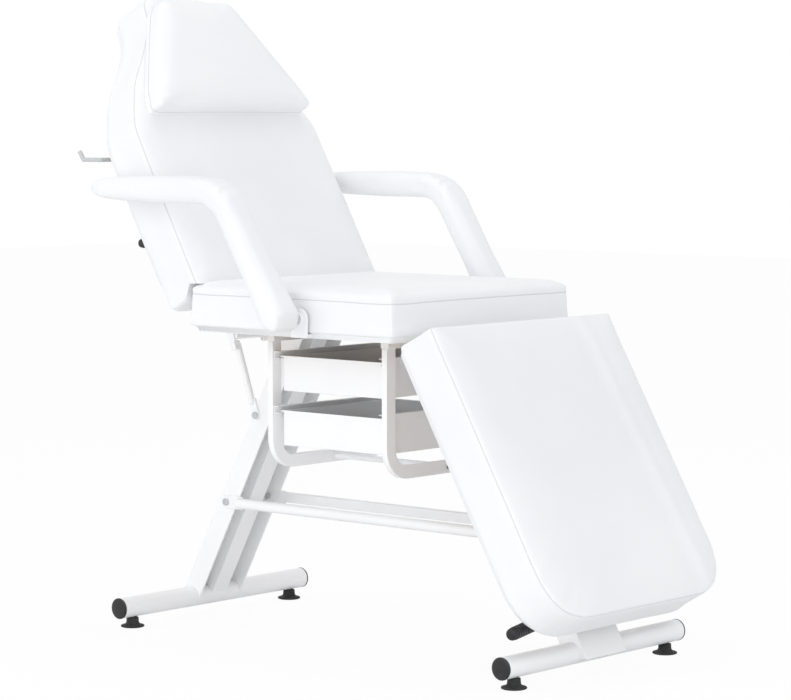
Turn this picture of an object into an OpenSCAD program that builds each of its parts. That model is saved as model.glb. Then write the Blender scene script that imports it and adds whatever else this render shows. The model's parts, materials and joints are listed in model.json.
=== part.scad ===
// Facial treatment bed: a padded seat on two leaning legs, with a hinged
// backrest, a hinged leg rest, two folding armrests and two sliding trays.
// +X points to the foot end, +Y to the occupant's left, +Z up. Millimetres.
// The origin is on the floor, under the middle of the whole bed.

/* [Foot bars] */
// distance from the middle to each foot bar
bar_x = 504; // [440:1:580]
// outside diameter of a foot bar
bar_d = 42; // [34:1:50]
// wall of a foot bar
bar_wall = 2; // [1.5:0.5:3]
// length of a foot bar without its caps
bar_len = 544; // [460:1:640]
// height of a foot bar's axis above the floor
bar_z = 42; // [36:1:60]
// thickness of an end cap's flange
cap_t = 4; // [2:0.5:8]
// depth of an end cap's plug
cap_plug = 18; // [8:1:30]

/* [Levelling feet] */
// distance from a bar's end to the foot's axis
foot_inset = 36; // [28:1:70]
// diameter of a foot's pad
pad_d = 49; // [36:1:60]
// diameter of a foot's neck
neck_d = 25; // [16:1:30]
// thickness of a foot's pad
pad_t = 5; // [3:0.5:8]
// diameter of a foot's stud
stud_d = 8; // [6:1:12]

/* [Legs] */
// distance from the middle to a leg's top
leg_top_x = 210.1; // [150:0.1:212]
// width of a leg across the bed
leg_w = 125; // [90:1:140]
// depth of a leg along the bed, measured level
leg_run = 52.8; // [40:0.2:60]
// wall of a leg's channel
leg_wall = 3; // [2:0.5:4]
// width of the tube inside a leg
core_w = 44; // [30:1:60]
// gap between the tube's face and the channel's lips
core_back = 4; // [2:0.5:10]

/* [Stretchers and braces] */
// height of the stretchers
str_z = 252; // [180:1:320]
// diameter of a stretcher
str_d = 22; // [16:1:28]
// height of a stretcher's flattened end
str_flat_h = 27; // [22:1:34]
// length of a stretcher's flattened end
str_flat_len = 44; // [32:1:60]
// thickness of a flattened end
flat_t = 5; // [3:0.5:7]
// drop from the seat's underside to a brace's bolt on the leg
brace_drop = 195; // [160:1:240]
// distance of that bolt behind the leg's middle
brace_back = 14; // [0:1:14]
// distance from the middle to a brace's welded top end
brace_top_x = 374; // [350:1:380]
// diameter of a brace
brace_d = 14; // [10:1:18]

/* [Seat] */
// rear end of the seat cushion
seat_x0 = -300.6; // [-320:0.1:-280]
// front end of the seat cushion
seat_x1 = 240; // [225:1:242]
// underside of the seat cushion
seat_z0 = 633; // [560:1:700]
// thickness of the seat cushion
seat_t = 84; // [60:1:100]
// width of all the cushions
pad_w = 540; // [480:1:600]
// thickness of a cushion's board
board_t = 8; // [6:0.5:12]
// distance a board is set in from its cushion's edge
board_in = 14; // [8:1:30]
// section of the square frame tubes
tube = 20; // [16:1:25]
// distance from the middle to each frame rail
rail_y = 68; // [60:1:80]

/* [Tray hangers] */
// rear hanger frame
hang_x0 = -160; // [-170:1:-150]
// front hanger frame
hang_x1 = 141; // [125:1:150]
// distance from the middle to a hanger's upright
hang_y = 171; // [150:1:200]
// drop from the seat's underside to a hanger's bottom run
hang_drop = 271; // [245:1:330]
// face width of a hanger's strip
hang_w = 25; // [18:1:30]
// thickness of a hanger's strip along the bed
hang_t = 13; // [8:1:16]
// bend radius to the middle of the strip
hang_r = 50; // [30:1:70]
// diameter of the tie rod
tie_d = 12; // [8:1:16]

/* [Trays] */
// drop from the seat's underside to the upper tray's rim
tray_drop1 = 57; // [50:1:70]
// drop from the seat's underside to the lower tray's rim
tray_drop2 = 166; // [145:1:185]
// height of a tray
tray_h = 70; // [50:1:80]
// length of a tray across the bed
tray_len = 330; // [300:1:340]
// wall of a tray
tray_wall = 2.5; // [2:0.5:4]
// depth of a tray rail
rail_d = 11; // [8:0.5:14]
// height of a tray rail
rail_h = 15; // [12:0.5:20]
// sheet of a tray rail
rail_t = 1.5; // [1:0.5:2]

/* [Backrest] */
// backrest hinge along the bed
back_x = -312.5; // [-320:0.5:-311.5]
// height of the backrest's hinge above the seat's underside
back_rise = 27; // [24:0.5:32]
// lean of the backrest from upright
back_lean = 29.6; // [10:0.1:60]
// distance from the hinge to the cushion's lower end
back_s0 = 45; // [42:0.5:60]
// length of the cushion up to the shoulders
back_s1 = 386; // [330:1:420]
// distance from the hinge to the head end
back_s2 = 708; // [640:1:760]
// half width at the head end
head_hw = 104; // [80:1:140]
// cushion face in front of the hinge
back_front = 62; // [55:1:70]
// cushion back behind the hinge
back_rear = 34; // [30:1:40]

/* [Head pillow] */
// distance from the hinge to the pillow's lower edge
pil_s0 = 410; // [380:1:440]
// distance from the hinge to the pillow's upper edge
pil_s1 = 670; // [620:1:690]
// half width of the lower edge
pil_hw0 = 233; // [180:1:260]
// half width of the upper edge
pil_hw1 = 112; // [80:1:150]
// thickness of the pillow
pil_t = 55; // [40:1:70]

/* [Leg rest] */
// leg rest hinge along the bed
rest_x = 245; // [243:0.5:250]
// drop from the seat's underside to the leg rest's hinge
rest_drop = 15.5; // [11:0.5:16]
// lean of the leg rest from upright
rest_lean = 30; // [29:0.5:40]
// distance from the hinge to the cushion's upper end
rest_s0 = -2; // [-2:0.5:6]
// distance from the hinge to the cushion's lower end
rest_s1 = 610; // [540:1:660]
// radius of the cushion's lower corners
rest_r = 115; // [60:1:150]
// thickness of the cushion
rest_t = 93; // [70:1:100]
// hinge to the cushion's back
rest_off = 8; // [8:0.5:12]

/* [Hinges] */
// thickness of a hinge plate
plate_t = 6; // [4:0.5:8]
// hinge pin diameter
pin_d = 8; // [6:0.5:10]
// radius of a hinge plate's rounded end
knuckle_r = 7; // [6:0.5:7]
// radial running clearance of a pin
run_c = 0.08; // [0.02:0.01:0.1]
// gap between parts that move past each other
gap = 0.6; // [0.3:0.1:1.5]
// radius of the backrest's toothed quadrant
quad_r = 34; // [30:1:38]
// radius of the notches
notch_r = 2.6; // [2:0.1:3.5]
// notch pitch in degrees
notch_a = 10; // [8:1:12]

/* [Armrests] */
// gap between the pads' sides and an armrest
arm_gap = 27; // [24:1:45]
// width of an armrest
arm_w = 72; // [55:1:85]
// pivot of an armrest along the bed
arm_x = 8; // [0:1:20]
// height of an armrest's pivot above the seat's underside
arm_rise = 29; // [24:1:42]
// height of an armrest's top above the seat's underside
arm_top_rise = 297; // [250:1:330]
// lean of the upright from the vertical
arm_lean = 31.9; // [20:0.1:40]
// thickness of the upright's padding
arm_t = 38; // [30:1:50]
// thickness of the level part's padding
arm_h = 42; // [34:1:52]
// rear tip of the armrest
arm_tip = -503; // [-540:1:-440]
// diameter of an armrest's pivot stub
stub_d = 14; // [10:1:20]

/* [Handles] */
// diameter of the round handle rods
rod_d = 9; // [7:0.5:12]
// diameter of a black grip
grip_d = 23; // [18:1:30]
// length of the backrest lever's grip
grip_len = 95; // [70:1:120]
// length of a leg rest grip
pull_grip_len = 76; // [60:1:100]
// droop of the leg rest grips
pull_droop = 8; // [0:1:30]
// distance from the leg rest hinge to its pull bar
pull_s = 562; // [540:1:600]
// half the length of the pull bar's straight part
pull_half = 136; // [100:1:150]

/* [Hidden] */
$fn = 48;
e = 0.01;
leg_off = 4.5;
hang_z = seat_z0 - hang_drop;
tray_z1 = seat_z0 - tray_drop1;
tray_z2 = seat_z0 - tray_drop2;
back_z = seat_z0 + back_rise;
rest_z = seat_z0 - rest_drop;
arm_y = pad_w / 2 + arm_gap + arm_w / 2;
arm_z = seat_z0 + arm_rise;
arm_top = seat_z0 + arm_top_rise;
brace_z = seat_z0 - brace_drop;
frame_z1 = seat_z0 - board_t;
frame_z0 = frame_z1 - tube;
leg_slope = (bar_x + leg_off - leg_top_x) / (frame_z0 - bar_z);
leg_lean = atan(leg_slope);
leg_depth = leg_run * cos(leg_lean);
leg_x0 = -bar_x - leg_slope * bar_z - leg_off;
leg_mid_top = leg_x0 + leg_slope * frame_z0;
foot_y = bar_len / 2 - foot_inset;
bar_low = bar_z - bar_d / 2;
str_x = leg_x0 + leg_slope * str_z;
brace_x = leg_x0 + leg_slope * brace_z - brace_back;
leg_face = leg_w / 2;
rail_x0 = -388;
rail_x1 = 226;
plate_y0 = rail_y + tube / 2;
plate_y1 = plate_y0 + plate_t;
quad_y = plate_y1 + 5;
ear_y0 = quad_y + gap;
ear_y1 = ear_y0 + plate_t;
back_tube_y = ear_y1 + tube / 2 - 2;
hang_in0 = hang_x0 + hang_t / 2;
hang_in1 = hang_x1 - hang_t / 2;
tray_x0 = hang_in0 + rail_d + 1.5;
tray_x1 = hang_in1 - rail_d - 1.5;
back_tube_x = -back_rear - board_t - tube / 2;
rest_tube_x = rest_off - board_t - tube / 2;
stub_in = pad_w / 2 + 6;
arm_in = arm_y - arm_w / 2;
arm_len = (arm_top - arm_h / 2 - arm_z) / cos(arm_lean);
arm_bend_x = arm_x - arm_len * sin(arm_lean);
tooth_ang0 = 200;
rim_t = 4;
slide_c = 0.4;
tip_r = notch_r - 0.4;
pawl_r = quad_r + tip_r + 0.4;
rest_quad_r = 26;
rest_pawl_r = rest_quad_r + tip_r + 0.4;
lever_piv = [-38, -17.5];
board_s0 = back_x - rail_x0 + 4.5;
head_x = back_x - back_s2 * sin(back_lean) - back_rear * cos(back_lean);
toe_x = rest_x + rest_s1 * sin(rest_lean) + (rest_off + rest_t) * cos(rest_lean);
row_x = -(head_x + toe_x) / 2;

// ---- helpers ----

// moves the model from the foot bars' middle to the whole bed's middle
module in_row() {
    translate([row_x, 0, 0]) children();
}

// both sides of the bed
module both_sides() {
    children();
    mirror([0, 1, 0]) children();
}

// both ends of the bed
module both_ends() {
    children();
    mirror([1, 0, 0]) children();
}

// cylinder along Y, from y0 to y1
module ycyl(d, y0, y1) {
    translate([0, y0, 0]) rotate([-90, 0, 0]) cylinder(d = d, h = y1 - y0);
}

// cylinder along X, from x0 to x1
module xcyl(d, x0, x1) {
    translate([x0, 0, 0]) rotate([0, 90, 0]) cylinder(d = d, h = x1 - x0);
}

// box between two corners
module box(a, b) {
    translate(a) cube(b - a);
}

// plate in the X-Z plane, from y0 to y1
module xz_plate(y0, y1) {
    translate([0, y1, 0]) rotate([90, 0, 0]) linear_extrude(y1 - y0) children();
}

// backrest frame of reference: X out of the cushion, Z up the back
module on_back() {
    translate([back_x, 0, back_z]) rotate([0, -back_lean, 0]) children();
}

// leg rest frame of reference: X out of the cushion, Z up to the hinge
module on_rest() {
    translate([rest_x, 0, rest_z]) rotate([0, -rest_lean, 0]) children();
}

// straight bar between two points of a 2-D profile
module strip(p, q, w) {
    v = q - p;
    translate(p) rotate(atan2(v[1], v[0])) translate([0, -w / 2]) square([norm(v), w]);
}

// the same bar with round ends
module link(p, q, w) {
    strip(p, q, w);
    translate(p) circle(d = w);
    translate(q) circle(d = w);
}

// ---- foot bars ----

module foot_bar(x) {
    translate([x, 0, bar_z]) difference() {
        ycyl(bar_d, -bar_len / 2, bar_len / 2);
        ycyl(bar_d - 2 * bar_wall, -bar_len / 2 - 1, bar_len / 2 + 1);
        for (s = [-1, 1]) translate([0, s * foot_y, -bar_d])
            cylinder(d = stud_d + 2 * run_c, h = bar_d);
    }
}

module rear_foot_bar() {
    color("white") in_row() foot_bar(-bar_x);
}

module front_foot_bar() {
    color("white") in_row() foot_bar(bar_x);
}

module foot_bar_caps() {
    color("black") in_row() both_ends() both_sides() translate([bar_x, 0, bar_z]) {
        ycyl(bar_d + 1, bar_len / 2, bar_len / 2 + cap_t);
        ycyl(bar_d - 2 * bar_wall - 0.4, bar_len / 2 - cap_plug, bar_len / 2 + e);
    }
}

// ---- levelling feet ----

module foot_stud(x, y) {
    color("silver") in_row() translate([x, y, 0]) {
        translate([0, 0, pad_t + 4]) cylinder(d = stud_d, h = bar_z - pad_t - 10);
    }
}

module foot_pad(x, y) {
    color("black") in_row() translate([x, y, 0]) difference() {
        rotate_extrude() polygon([[0, 0], [pad_d / 2 - 1, 0], [pad_d / 2, 1.5],
            [pad_d / 2 - 0.5, pad_t], [neck_d / 2 + 3, pad_t + 2.5],
            [neck_d / 2 + 0.6, pad_t + 7], [neck_d / 2, bar_low - gap - 1],
            [neck_d / 2 - 1, bar_low - gap], [0, bar_low - gap]]);
        translate([0, 0, pad_t + 4]) cylinder(d = stud_d, h = bar_low);
    }
}

module rear_right_stud() { foot_stud(-bar_x, -foot_y); }
module rear_right_pad() { foot_pad(-bar_x, -foot_y); }
module rear_left_stud() { foot_stud(-bar_x, foot_y); }
module rear_left_pad() { foot_pad(-bar_x, foot_y); }
module front_right_stud() { foot_stud(bar_x, -foot_y); }
module front_right_pad() { foot_pad(bar_x, -foot_y); }
module front_left_stud() { foot_stud(bar_x, foot_y); }
module front_left_pad() { foot_pad(bar_x, foot_y); }

// ---- legs ----

// rear leg's frame of reference: Z up the leg, X towards the bed's middle
module on_leg() {
    translate([leg_x0, 0, 0]) rotate([0, leg_lean, 0]) children();
}

// trims a leg to the bar below and the frame above
module leg_trim() {
    difference() {
        children();
        box([-2000, -200, -500], [2000, 200, bar_z - 8]);
        box([-2000, -200, frame_z0], [2000, 200, 2000]);
        translate([-bar_x, 0, bar_z]) ycyl(bar_d + 0.1, -200, 200);
    }
}

module leg_channel() {
    difference() {
        leg_trim() on_leg() difference() {
            box([-leg_depth / 2, -leg_w / 2, -100], [leg_depth / 2, leg_w / 2, 900]);
            box([-leg_depth / 2 + leg_wall, -leg_w / 2 + leg_wall, -101],
                [leg_depth, leg_w / 2 - leg_wall, 901]);
        }
        translate([str_x, 0, str_z]) ycyl(8.2, -200, 200);
        translate([brace_x, 0, brace_z]) ycyl(8.2, -200, 200);
    }
}

module rear_leg() {
    color("white") in_row() leg_channel();
}

module front_leg() {
    color("white") in_row() mirror([1, 0, 0]) difference() {
        leg_trim() on_leg() difference() {
            box([-leg_depth / 2, -leg_w / 2, -100], [leg_depth / 2, leg_w / 2, 900]);
            box([-leg_depth / 2 + leg_wall, -leg_w / 2 + leg_wall, -101],
                [leg_depth, leg_w / 2 - leg_wall, 901]);
        }
        translate([str_x, 0, str_z]) ycyl(8.2, -200, 200);
    }
}

module leg_core() {
    leg_trim() on_leg() difference() {
        box([-leg_depth / 2 + leg_wall, -core_w / 2, -100],
            [leg_depth / 2 - core_back, core_w / 2, 900]);
        box([-leg_depth / 2 + 2 * leg_wall, -core_w / 2 + leg_wall, -101],
            [leg_depth / 2 - core_back - leg_wall, core_w / 2 - leg_wall, 901]);
    }
}

module leg_cores() {
    color("white") in_row() both_ends() leg_core();
}

// ---- stretchers and braces ----

module stretcher() {
    y = -leg_face - flat_t / 2;
    difference() {
        union() {
            translate([0, y - 4, str_z]) xcyl(str_d, str_x + str_flat_len - 12, -str_x - str_flat_len + 12);
            both_ends() translate([0, y, str_z]) {
                box([str_x, -flat_t / 2, -str_flat_h / 2],
                    [str_x + str_flat_len, flat_t / 2, str_flat_h / 2]);
                translate([str_x, 0, 0]) ycyl(str_flat_h, -flat_t / 2, flat_t / 2);
            }
        }
        both_ends() translate([str_x, 0, str_z]) ycyl(8.2, -200, 200);
        box([-600, -leg_face, 0], [600, 0, 600]);
    }
}

module stretchers() {
    color("white") in_row() both_sides() stretcher();
}

// bolt through one wall of a leg, head outside
module leg_bolt(t) {
    ycyl(8, -leg_face - t - e, -leg_face + leg_wall + 6);
    ycyl(14, -leg_face - t - 4.5, -leg_face - t);
    translate([0, -leg_face + leg_wall, 0]) rotate([-90, 0, 0])
        cylinder(d = 14.5, h = 6.5, $fn = 6);
}

module stretcher_bolts() {
    color("silver") in_row() both_ends() both_sides() translate([str_x, 0, str_z]) leg_bolt(flat_t);
}

module brace() {
    p = [brace_x, brace_z];
    q = [-brace_top_x, frame_z0 + tube / 2];
    v = q - p;
    a = atan2(v[0], v[1]);
    n = norm(v);
    y = leg_face + flat_t;
    difference() {
        union() {
            translate([p[0], 0, p[1]]) rotate([0, a, 0]) {
                box([-9, -y, 0], [9, -y + flat_t, 34]);
                ycyl(18, -y, -y + flat_t);
            }
            translate([p[0], -y, p[1]]) rotate([0, a, 0]) translate([0, 0, 26])
                cylinder(d = brace_d, h = n - 60);
            translate([q[0], 0, q[1]]) rotate([0, a, 0]) {
                box([-9, -plate_y0 - flat_t, -30], [9, -plate_y0, 0]);
                box([-7, -plate_y0 - flat_t, -46], [7, -y + 1, -28]);
                ycyl(18, -plate_y0 - flat_t, -plate_y0);
            }
        }
        translate([p[0], 0, p[1]]) ycyl(8.2, -200, 0);
        box([-600, -leg_face, 0], [600, 0, 900]);
    }
}

module rear_braces() {
    color("white") in_row() both_sides() brace();
}

module brace_bolts() {
    color("silver") in_row() both_sides()
        translate([brace_x, 0, brace_z]) leg_bolt(flat_t);
}

// ---- seat frame ----

module seat_rails() {
    color("white") in_row() both_sides()
        box([rail_x0, rail_y - tube / 2, frame_z0], [rail_x1, rail_y + tube / 2, frame_z1]);
}

// square tube across the bed, from y0 to y1
module cross_tube(x, y0, y1) {
    box([x - tube / 2, y0, frame_z0], [x + tube / 2, y1, frame_z1]);
}

module seat_cross_tubes() {
    in = rail_y - tube / 2;
    color("white") in_row() {
        for (x = [leg_mid_top, hang_x0, hang_x1, -leg_mid_top]) cross_tube(x, -in, in);
        for (x = [hang_x0, hang_x1]) both_sides() cross_tube(x, plate_y0, hang_y + hang_w / 2);
    }
}

module rear_cross_bar() {
    color("white") in_row() translate([-359, 0, frame_z0 - 6]) difference() {
        union() {
            ycyl(12, -plate_y0, plate_y0);
            xz_plate(4, 16) link([0, 0], [-2, -9], 12);
        }
        translate([-2, 0, -9]) ycyl(5, 0, 20);
    }
}

// ---- tray hangers ----

module hanger(x) {
    low = hang_z + hang_r;
    translate([x, 0, 0]) {
        both_sides() {
            box([-hang_t / 2, hang_y - hang_w / 2, low], [hang_t / 2, hang_y + hang_w / 2, frame_z0]);
            translate([-hang_t / 2, hang_y - hang_r, low]) rotate([0, 90, 0]) rotate([0, 0, 0])
                difference() {
                    cylinder(r = hang_r + hang_w / 2, h = hang_t);
                    translate([0, 0, -1]) cylinder(r = hang_r - hang_w / 2, h = hang_t + 2);
                    translate([-200, -100, -1]) cube([200, 300, hang_t + 2]);
                    translate([-1, -200, -1]) cube([300, 200, hang_t + 2]);
                }
        }
        box([-hang_t / 2, -hang_y + hang_r, hang_z - hang_w / 2],
            [hang_t / 2, hang_y - hang_r, hang_z + hang_w / 2]);
    }
}

module rear_hanger() {
    color("white") in_row() difference() {
        hanger(hang_x0);
        translate([0, 0, hang_z]) xcyl(6.4, hang_x0 - 20, hang_x0 + 20);
    }
}

module front_hanger() {
    color("white") in_row() difference() {
        hanger(hang_x1);
        translate([0, 0, hang_z]) xcyl(6.4, hang_x1 - 20, hang_x1 + 20);
    }
}

module tie_rod() {
    color("white") in_row() translate([0, 0, hang_z]) difference() {
        union() {
            xcyl(tie_d, hang_in0, hang_in1);
            xcyl(tie_d + 6, hang_in0, hang_in0 + 3);
            xcyl(tie_d + 6, hang_in1 - 3, hang_in1);
        }
        xcyl(6, hang_in0 - 1, hang_in0 + 16);
        xcyl(6, hang_in1 - 16, hang_in1 + 1);
    }
}

module tie_rod_screws() {
    color("black") in_row() translate([0, 0, hang_z]) {
        translate([hang_x1, 0, 0]) {
            xcyl(6, -hang_t / 2 - 14, hang_t / 2 + e);
            xcyl(9.5, hang_t / 2, hang_t / 2 + 3);
        }
        translate([hang_x0, 0, 0]) {
            xcyl(6, -hang_t / 2 - e, hang_t / 2 + 14);
            xcyl(9.5, -hang_t / 2 - 3, -hang_t / 2);
        }
    }
}

// one channel rail round a tray's rim, its mouth towards +X
module tray_rail(z) {
    y = hang_y + hang_w / 2 - 4;
    low = z - rim_t - slide_c - rail_t;
    translate([hang_in0, 0, low]) difference() {
        box([0, -y, 0], [rail_d, y, rail_h]);
        box([rail_t, -y - 1, rail_t], [rail_d + 1, y + 1, rail_h - rail_t]);
    }
}

module rail_pair(z) {
    tray_rail(z);
    translate([hang_in0 + hang_in1, 0, 0]) mirror([1, 0, 0]) tray_rail(z);
}

module upper_tray_rails() {
    color("white") in_row() rail_pair(tray_z1);
}

module lower_tray_rails() {
    color("white") in_row() rail_pair(tray_z2);
}

// ---- trays ----

module tray(z) {
    l = tray_len / 2;
    difference() {
        union() {
            box([tray_x0, -l, z - tray_h], [tray_x1, l, z]);
            box([tray_x0 - rail_d + 1, -l, z - rim_t], [tray_x1 + rail_d - 1, l, z]);
        }
        box([tray_x0 + tray_wall, -l + tray_wall, z - tray_h + tray_wall],
            [tray_x1 - tray_wall, l - tray_wall, z + 1]);
    }
}

module upper_tray() {
    color("white") in_row() tray(tray_z1);
}

module lower_tray() {
    color("white") in_row() tray(tray_z2);
}

// ---- seat ----

module seat_board() {
    color("tan") in_row() difference() {
        box([seat_x0 + board_in, -pad_w / 2 + board_in, frame_z1],
            [seat_x1 - board_in, pad_w / 2 - board_in, seat_z0]);
        both_sides() box([arm_x - 21, rail_y - 12, frame_z1 - 1], [arm_x + 21, pad_w, seat_z0 + 1]);
    }
}

// cushion outline in plan with rounded corners
module round_rect(x0, x1, w, r) {
    translate([x0 + r, -w / 2]) square([x1 - x0 - 2 * r, w]);
    translate([x0, -w / 2 + r]) square([x1 - x0, w - 2 * r]);
    for (x = [x0 + r, x1 - r]) for (y = [-w / 2 + r, w / 2 - r]) translate([x, y]) circle(r);
}

module seat_cushion() {
    color("white") in_row() translate([0, 0, seat_z0]) linear_extrude(seat_t)
        round_rect(seat_x0, seat_x1, pad_w, 22);
}

// ---- hinges ----

// seat side of the backrest hinge, toothed on the lever's side
module back_plate(teeth) {
    difference() {
        xz_plate(-plate_y1, -plate_y0) union() {
            translate([back_x - 9, frame_z0]) square([18, back_z - frame_z0]);
            translate([back_x, back_z]) circle(r = 9);
            translate([back_x - 40, frame_z0]) square([60, tube]);
        }
        translate([back_x, 0, back_z]) ycyl(pin_d, -200, 0);
    }
    if (teeth) translate([back_x, 0, back_z]) quadrant(quad_r, 188, 272, tooth_ang0, plate_y1, quad_y);
}

// toothed quadrant on the right, centred on its hinge
module quadrant(r, a0, a1, t0, y0, y1) {
    m = (a0 + a1) / 2;
    difference() {
        xz_plate(-y1, -y0) {
            circle(r = knuckle_r);
            intersection() {
                circle(r = r);
                polygon([[0, 0], 2 * r * [cos(a0), sin(a0)], 2.4 * r * [cos(m), sin(m)],
                         2 * r * [cos(a1), sin(a1)]]);
            }
        }
        ycyl(pin_d, -200, 0);
        for (i = [0 : 6]) translate([r * cos(t0 + i * notch_a), 0, r * sin(t0 + i * notch_a)])
            ycyl(2 * notch_r, -200, 0);
    }
}

module back_hinge_plates() {
    color("white") in_row() {
        back_plate(true);
        mirror([0, 1, 0]) back_plate(false);
    }
}

module leg_hinge_plates() {
    color("white") in_row() both_sides() difference() {
        xz_plate(-plate_y1, -plate_y0) union() {
            translate([rest_x - 50, rest_z - knuckle_r]) square([50, 2 * knuckle_r]);
            translate([rest_x, rest_z]) circle(r = knuckle_r);
            translate([rest_x - 62, rest_z - 32]) square([24, 32]);
        }
        translate([rest_x, 0, rest_z]) ycyl(pin_d, -200, 0);
        translate([rest_x - 50, 0, rest_z - 24]) ycyl(6, -200, 0);
    }
}

module hinge_pin() {
    ycyl(pin_d, -ear_y1 - 1, -plate_y0 + 3);
    ycyl(pin_d + 4, -plate_y0, -plate_y0 + 3);
    ycyl(pin_d + 4, -ear_y1 - 3.5, -ear_y1 - gap);
}

module hinge_pins() {
    color("silver") in_row() both_sides() {
        translate([back_x, 0, back_z]) hinge_pin();
        translate([rest_x, 0, rest_z]) hinge_pin();
    }
}

// ---- backrest ----

// backrest outline: width across, height up the back
module back_outline(d) {
    s0 = back_s0 + d;
    s2 = back_s2 - d;
    w = pad_w / 2 - d;
    h = head_hw - d;
    k = (s2 - back_s1) / 322;
    pts = [[w - 14, s0], [w - 4, s0 + 4], [w, s0 + 14], [w, back_s1 - 14],
           [w - 13, back_s1 + 46 * k], [w - 52, back_s1 + 112 * k],
           [w - 93, back_s1 + 165 * k], [h + 31, back_s1 + 223 * k],
           [h + 6, back_s1 + 278 * k], [h - 6, s2 - 16], [h - 22, s2 - 4], [h - 44, s2]];
    polygon(concat(pts, [for (i = [len(pts) - 1 : -1 : 0]) [-pts[i][0], pts[i][1]]]));
}

// slab across the back between two depths
module back_slab(x0, x1) {
    translate([x0, 0, 0]) rotate([90, 0, 90]) linear_extrude(x1 - x0) children();
}

module back_cushion() {
    color("white") in_row() on_back() back_slab(-back_rear, back_front) back_outline(0);
}

module back_board() {
    color("tan") in_row() on_back() difference() {
        back_slab(-back_rear - board_t, -back_rear) back_outline(board_in);
        box([-200, -pad_w, -1], [200, pad_w, board_s0]);
    }
}

// side tube of the backrest with its hinge ear, on the right
module back_side() {
    difference() {
        union() {
            box([back_tube_x - tube / 2, -back_tube_y - tube / 2, 8],
                [back_tube_x + tube / 2, -back_tube_y + tube / 2, 560]);
            xz_plate(-ear_y1, -ear_y0) union() {
                circle(r = 9);
                translate(lever_piv) circle(r = 7);
                polygon([[9, 0], [-16, 40], [back_tube_x + tube / 2, 40],
                         [back_tube_x - tube / 2, 40], [back_tube_x - tube / 2, 8],
                         lever_piv - [6, 2], lever_piv - [-4, 5], [-28, -9], [0, -9]]);
            }
        }
        ycyl(pin_d + 2 * run_c, -200, 200);
        translate([lever_piv[0], 0, lever_piv[1]]) ycyl(6 + 2 * run_c, -200, 0);
    }
}

module back_side_tubes() {
    color("white") in_row() on_back() both_sides() back_side();
}

module back_cross_tubes() {
    y = back_tube_y - tube / 2;
    color("white") in_row() on_back() for (s = [90, 320, 540])
        box([back_tube_x - tube / 2, -y, s], [back_tube_x + tube / 2, y, s + tube]);
}

module head_pillow() {
    r = 26;
    color("white") in_row() on_back() back_slab(back_front + 0.4, back_front + 0.4 + pil_t)
        polygon([[-pil_hw0 + 10, pil_s0], [pil_hw0 - 10, pil_s0], [pil_hw0, pil_s0 + 14],
                 [pil_hw0 - 6, pil_s0 + 34], [pil_hw1 + 20, pil_s1 - 44], [pil_hw1, pil_s1 - 16],
                 [pil_hw1 - r, pil_s1], [-pil_hw1 + r, pil_s1], [-pil_hw1, pil_s1 - 16],
                 [-pil_hw1 - 20, pil_s1 - 44], [-pil_hw0 + 6, pil_s0 + 34], [-pil_hw0, pil_s0 + 14]]);
}

// bent rod behind the back that carries a paper roll
module roll_holder() {
    x = back_tube_x - tube / 2 - rod_d / 2;
    color("gray") in_row() on_back() translate([x, 0, 384]) {
        ycyl(rod_d, -262, 262);
        both_sides() translate([0, 262, 0]) {
            sphere(d = rod_d);
            rotate([0, back_lean, 0]) {
                xcyl(rod_d, -52, 0);
                translate([-52, 0, 0]) sphere(d = rod_d);
                translate([-52, 0, 0]) rotate([0, -35, 0]) cylinder(d = rod_d, h = 20);
            }
        }
    }
}

// ---- backrest lever ----

// lever in the backrest's frame of reference: its pawl tip fits a notch
module lever_shape() {
    a = tooth_ang0 - back_lean;
    tip = [pawl_r * cos(a), pawl_r * sin(a)];
    link(tip, [-47, 2], 2 * tip_r);
    translate(lever_piv) circle(r = 6);
    link(lever_piv, [-50, 2], 8);
    link([-50, 2], [-76, 36], 8);
    link([-76, 36], [-78, 196], 8);
}

module back_lever() {
    color("white") in_row() on_back() {
        xz_plate(-quad_y + 0.2, -plate_y1 - gap) lever_shape();
        translate([lever_piv[0], 0, lever_piv[1]]) ycyl(6, -ear_y1 - 1, -plate_y1 - gap);
        translate([-78, 0, 196]) ycyl(rod_d, -228, -plate_y1 - gap);
    }
}

module back_lever_grip() {
    color("black") in_row() on_back() translate([-78, 0, 196]) difference() {
        union() {
            ycyl(grip_d, -232, -232 + grip_len);
            ycyl(grip_d + 3, -232 + grip_len - 5, -232 + grip_len);
        }
        ycyl(rod_d, -228, 0);
    }
}

// ---- leg rest ----

// leg rest outline: width across, depth below the hinge as negative height
module rest_outline(d) {
    w = pad_w / 2 - d - 2;
    s0 = rest_s0 + d;
    s1 = rest_s1 - d;
    r = rest_r - d;
    translate([-w, -s1 + r]) square([2 * w, s1 - r - s0]);
    translate([-w + r, -s1]) square([2 * (w - r), s1 - s0]);
    for (y = [-w + r, w - r]) translate([y, -s1 + r]) circle(r);
}

module leg_cushion() {
    color("white") in_row() on_rest() back_slab(rest_off, rest_off + rest_t) rest_outline(0);
}

module leg_board() {
    color("tan") in_row() on_rest() back_slab(rest_off - board_t, rest_off) rest_outline(board_in);
}

// side tube of the leg rest with its hinge ear, on the right
module rest_side() {
    difference() {
        union() {
            box([rest_tube_x - tube / 2, -back_tube_y - tube / 2, -590],
                [rest_tube_x + tube / 2, -back_tube_y + tube / 2, -20]);
            xz_plate(-ear_y1, -ear_y0) union() {
                circle(r = knuckle_r);
                polygon([[-knuckle_r, 0], [knuckle_r, 0], [knuckle_r, -1],
                         [rest_tube_x + tube / 2, -10.5], [rest_tube_x + tube / 2, -60],
                         [rest_tube_x - tube / 2, -60], [rest_tube_x - tube / 2, -16]]);
            }
        }
        ycyl(pin_d + 2 * run_c, -200, 200);
    }
}

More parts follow.
